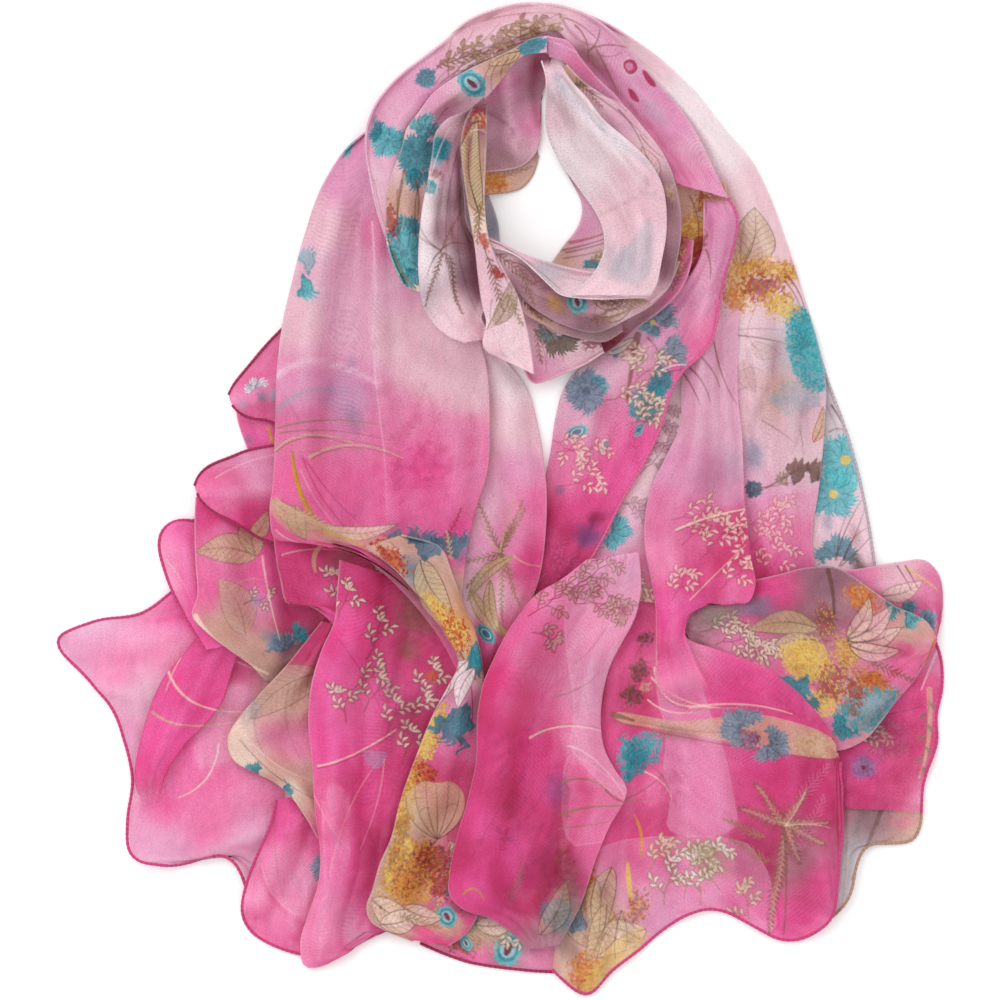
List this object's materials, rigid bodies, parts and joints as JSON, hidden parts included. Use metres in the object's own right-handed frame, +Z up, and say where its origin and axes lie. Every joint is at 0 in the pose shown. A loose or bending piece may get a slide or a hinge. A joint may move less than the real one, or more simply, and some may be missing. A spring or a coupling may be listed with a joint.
{
  "type": "chiffon scarf",
  "caption": "Long sheer printed scarf wound into a neck ring and laid flat, its fanned tails folded over one another in soft lobes with rolled hems.",
  "frame": {"origin": "the surface the scarf lies on, under the middle of its bounding box", "axes": "+Z up off the surface, +Y from the fanned tails to the neck ring, +X to the right seen from above with the ring at the top"},
  "size_m": [0.5285, 0.5924, 0.0413],
  "materials": {
    "blush_chiffon": "sheer crepe chiffon, soft sheen, printed",
    "rose_chiffon": "sheer crepe chiffon, soft sheen, printed",
    "hot_pink_chiffon": "sheer crepe chiffon, soft sheen, printed",
    "magenta_chiffon": "sheer crepe chiffon, soft sheen, printed",
    "gold_print_chiffon": "sheer crepe chiffon, soft sheen, printed",
    "cream_chiffon": "sheer crepe chiffon, soft sheen, printed",
    "sheer_chiffon": "sheer crepe chiffon, soft sheen, printed"
  },
  "bodies": {
    "root": {"beige_lobe": "gold_print_chiffon", "bottom_fold": "rose_chiffon", "centre_flap": "magenta_chiffon", "centre_lobe": "hot_pink_chiffon", "corner_curl": "rose_chiffon", "corner_low": "sheer_chiffon", "corner_mid": "hot_pink_chiffon", "eye_turn": "cream_chiffon", "gold_lobe": "gold_print_chiffon", "gold_panel": "gold_print_chiffon", "hem_band": "gold_print_chiffon", "inner_strip": "cream_chiffon", "leaf_lobe": "rose_chiffon", "leaf_strip": "gold_print_chiffon", "left_back": "blush_chiffon", "left_edge_flap": "magenta_chiffon", "left_fold": "cream_chiffon", "left_front": "rose_chiffon", "left_under": "magenta_chiffon", "left_wing": "rose_chiffon", "low_lobe": "rose_chiffon", "lower_flap": "magenta_chiffon", "neck_inner_left": "sheer_chiffon", "neck_inner_right": "rose_chiffon", "outer_turn": "blush_chiffon", "pale_neck_band": "cream_chiffon", "pale_turn": "cream_chiffon", "pink_lobe": "hot_pink_chiffon", "pocket": "gold_print_chiffon", "pouch": "rose_chiffon", "pouch_flap": "gold_print_chiffon", "right_band": "hot_pink_chiffon", "right_front": "rose_chiffon", "right_lower": "hot_pink_chiffon", "right_pale": "blush_chiffon", "right_underlay": "sheer_chiffon", "right_veil": "sheer_chiffon", "ring_core": "blush_chiffon", "ring_under_band": "rose_chiffon", "ruffle_low": "rose_chiffon", "ruffle_mid": "rose_chiffon", "ruffle_neck": "hot_pink_chiffon", "ruffle_top": "rose_chiffon", "second_right": "cream_chiffon", "second_turn": "blush_chiffon", "thin_strip": "rose_chiffon", "wing_pleat": "hot_pink_chiffon"}
  },
  "joints": []
}
